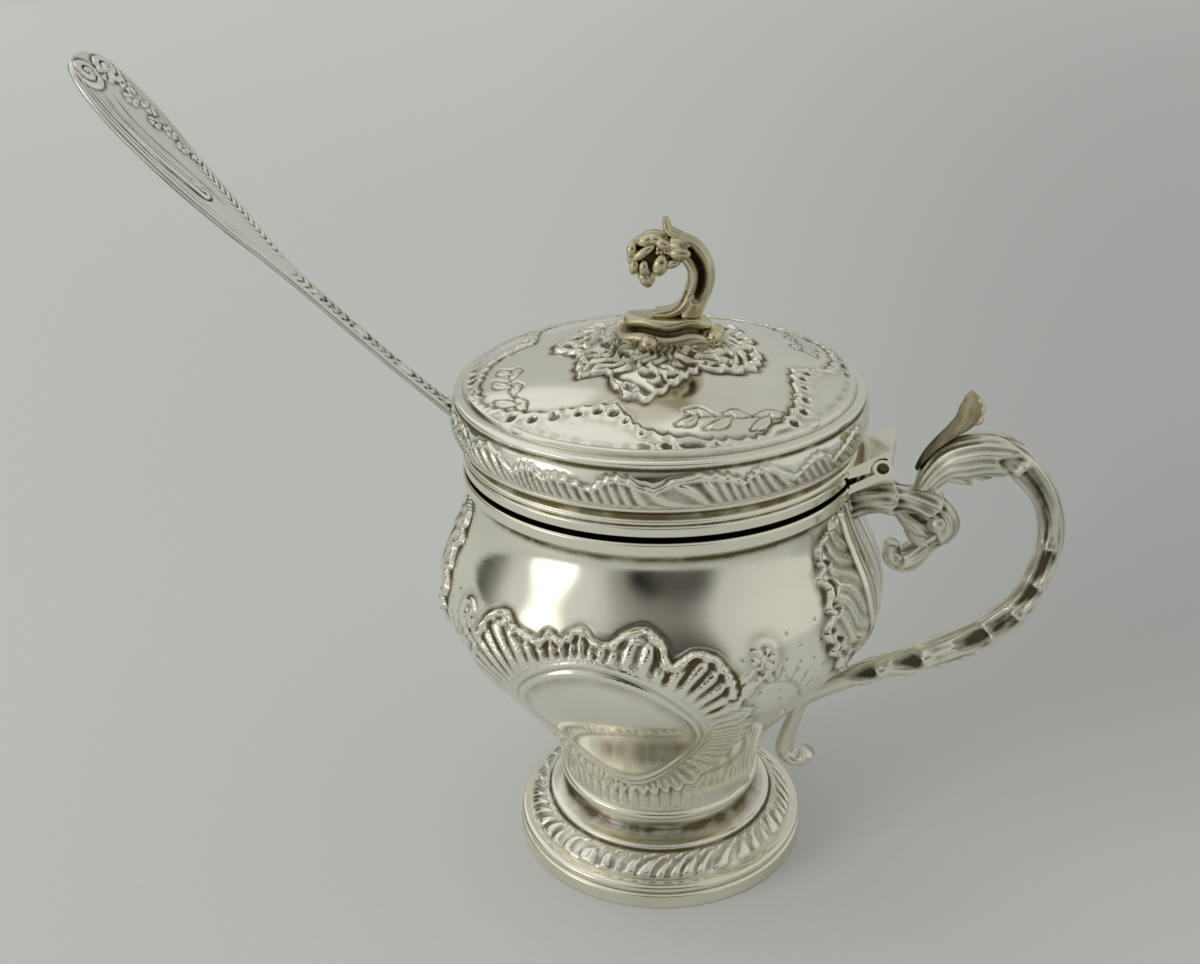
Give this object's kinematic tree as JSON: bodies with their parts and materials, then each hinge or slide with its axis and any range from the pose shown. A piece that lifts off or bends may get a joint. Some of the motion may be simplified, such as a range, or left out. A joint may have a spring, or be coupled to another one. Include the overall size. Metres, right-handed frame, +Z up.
{
  "type": "mustard pot",
  "caption": "Footed baluster mustard pot with hinged domed lid, scroll handle, curled leaf finial, glass liner and a spoon that leaves through a notch in the lid.",
  "frame": {"origin": "centre of the foot's underside, on the surface that the pot stands on", "axes": "+Z up along the pot's axis, +X towards the hinge and the handle, -X towards the spoon, -Y towards the front cartouche"},
  "size_m": [0.1503, 0.069, 0.1267],
  "materials": {
    "silver": "polished, chased",
    "cast_silver": "cast, with darker patina in the hollows",
    "spoon_silver": "polished",
    "glass": "clear"
  },
  "bodies": {
    "pot": {"foot_rim": "silver", "foot_dome": "silver", "neck_ring": "silver", "body_shell": "silver", "body_collar": "silver", "glass_liner": "glass", "hinge_lower_leaf": "silver", "hinge_pin": "cast_silver", "handle_scroll": "cast_silver", "handle_thumb_leaf": "cast_silver", "handle_bracket": "cast_silver"},
    "lid": {"lid_bezel": "silver", "lid_band": "silver", "lid_dome": "silver", "hinge_upper_leaf": "silver", "finial_base": "cast_silver", "finial_stem": "cast_silver", "finial_flower": "cast_silver", "finial_screw": "cast_silver"},
    "spoon": {"mustard_spoon": "spoon_silver"}
  },
  "joints": [
    {"name": "lid_hinge", "type": "hinge", "parent": "pot", "child": "lid", "pos_m": [0.0341, 0, 0.0709], "axis": [0, 1, 0], "range_deg": [0, 77]},
    {"name": "spoon_slide", "type": "slide", "parent": "pot", "child": "spoon", "axis": [-0.7314, 0, 0.682], "range_m": [0, 0.022]}
  ]
}
